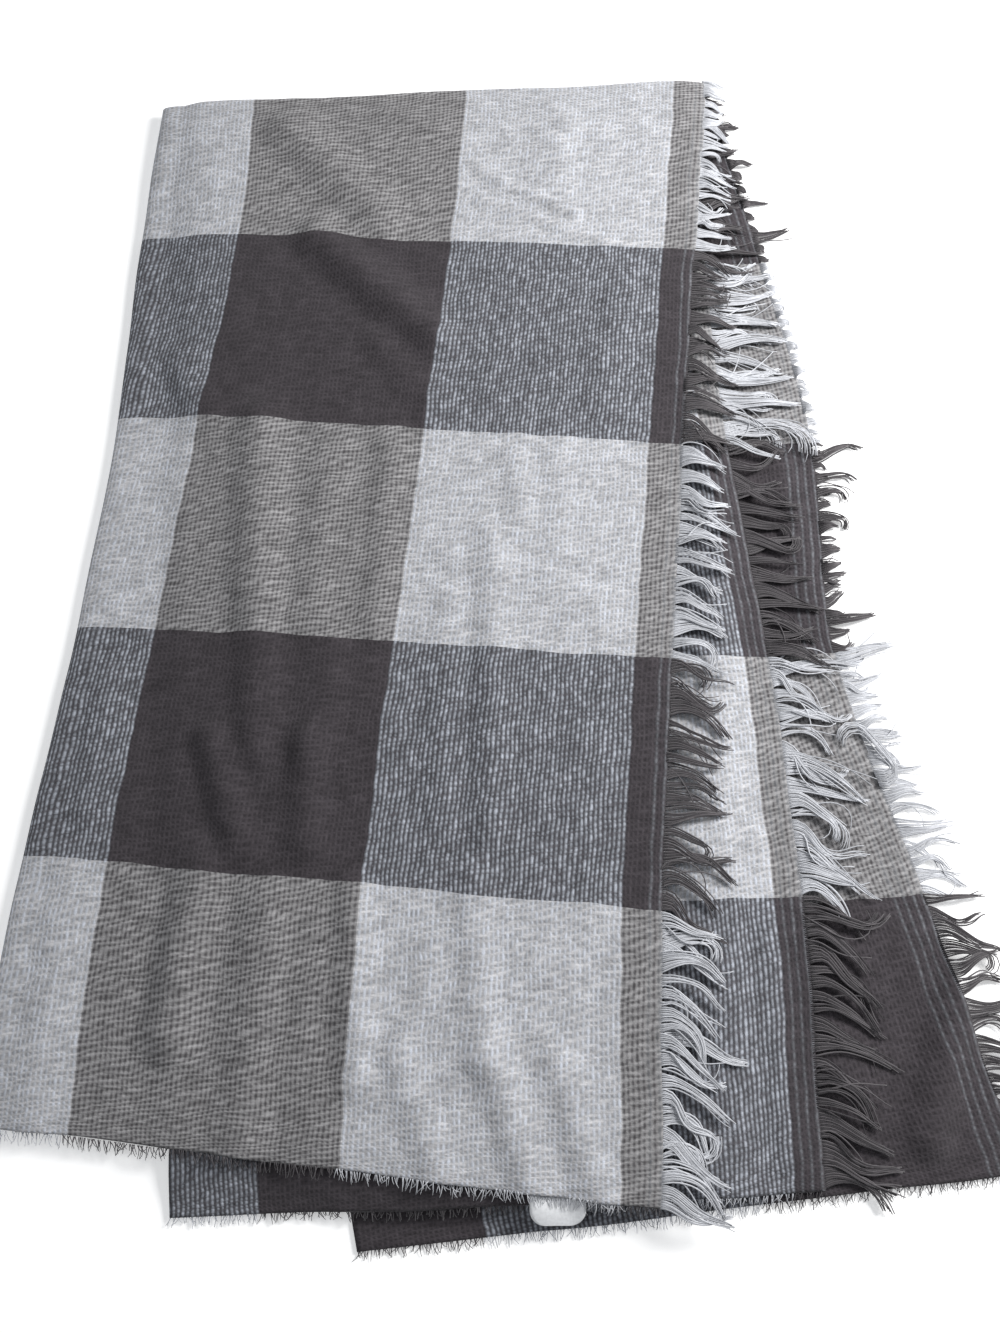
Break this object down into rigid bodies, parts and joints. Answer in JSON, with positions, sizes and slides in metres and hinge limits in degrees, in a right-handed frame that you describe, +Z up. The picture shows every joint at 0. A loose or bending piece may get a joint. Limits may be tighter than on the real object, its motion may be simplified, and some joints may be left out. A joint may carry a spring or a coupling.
{
  "type": "folded blanket scarf",
  "caption": "Large square woven blanket scarf in off-white and charcoal checks with fringed edges, folded in half and in quarters and lying flat.",
  "frame": {"origin": "on the surface the scarf lies on, under the middle of its outline", "axes": "+Z up, +Y towards the fold along the top, +X towards the long-fringed edges"},
  "size_m": [0.5719, 0.7209, 0.015],
  "materials": {
    "light_dark_weave": "soft brushed open weave of off-white and charcoal yarns in large checks",
    "light_fringe": "loose off-white yarns, charcoal where a dark check runs out to the edge",
    "label_satin": "blank white satin"
  },
  "bodies": {
    "root": {"front_panel": "light_dark_weave", "second_panel": "light_dark_weave", "third_panel": "light_dark_weave", "hidden_layers": "light_dark_weave", "front_fringe": "light_fringe", "second_fringe": "light_fringe", "third_fringe": "light_fringe", "front_eyelash": "light_fringe", "second_eyelash": "light_fringe", "third_eyelash": "light_fringe", "care_label": "label_satin"}
  },
  "joints": []
}
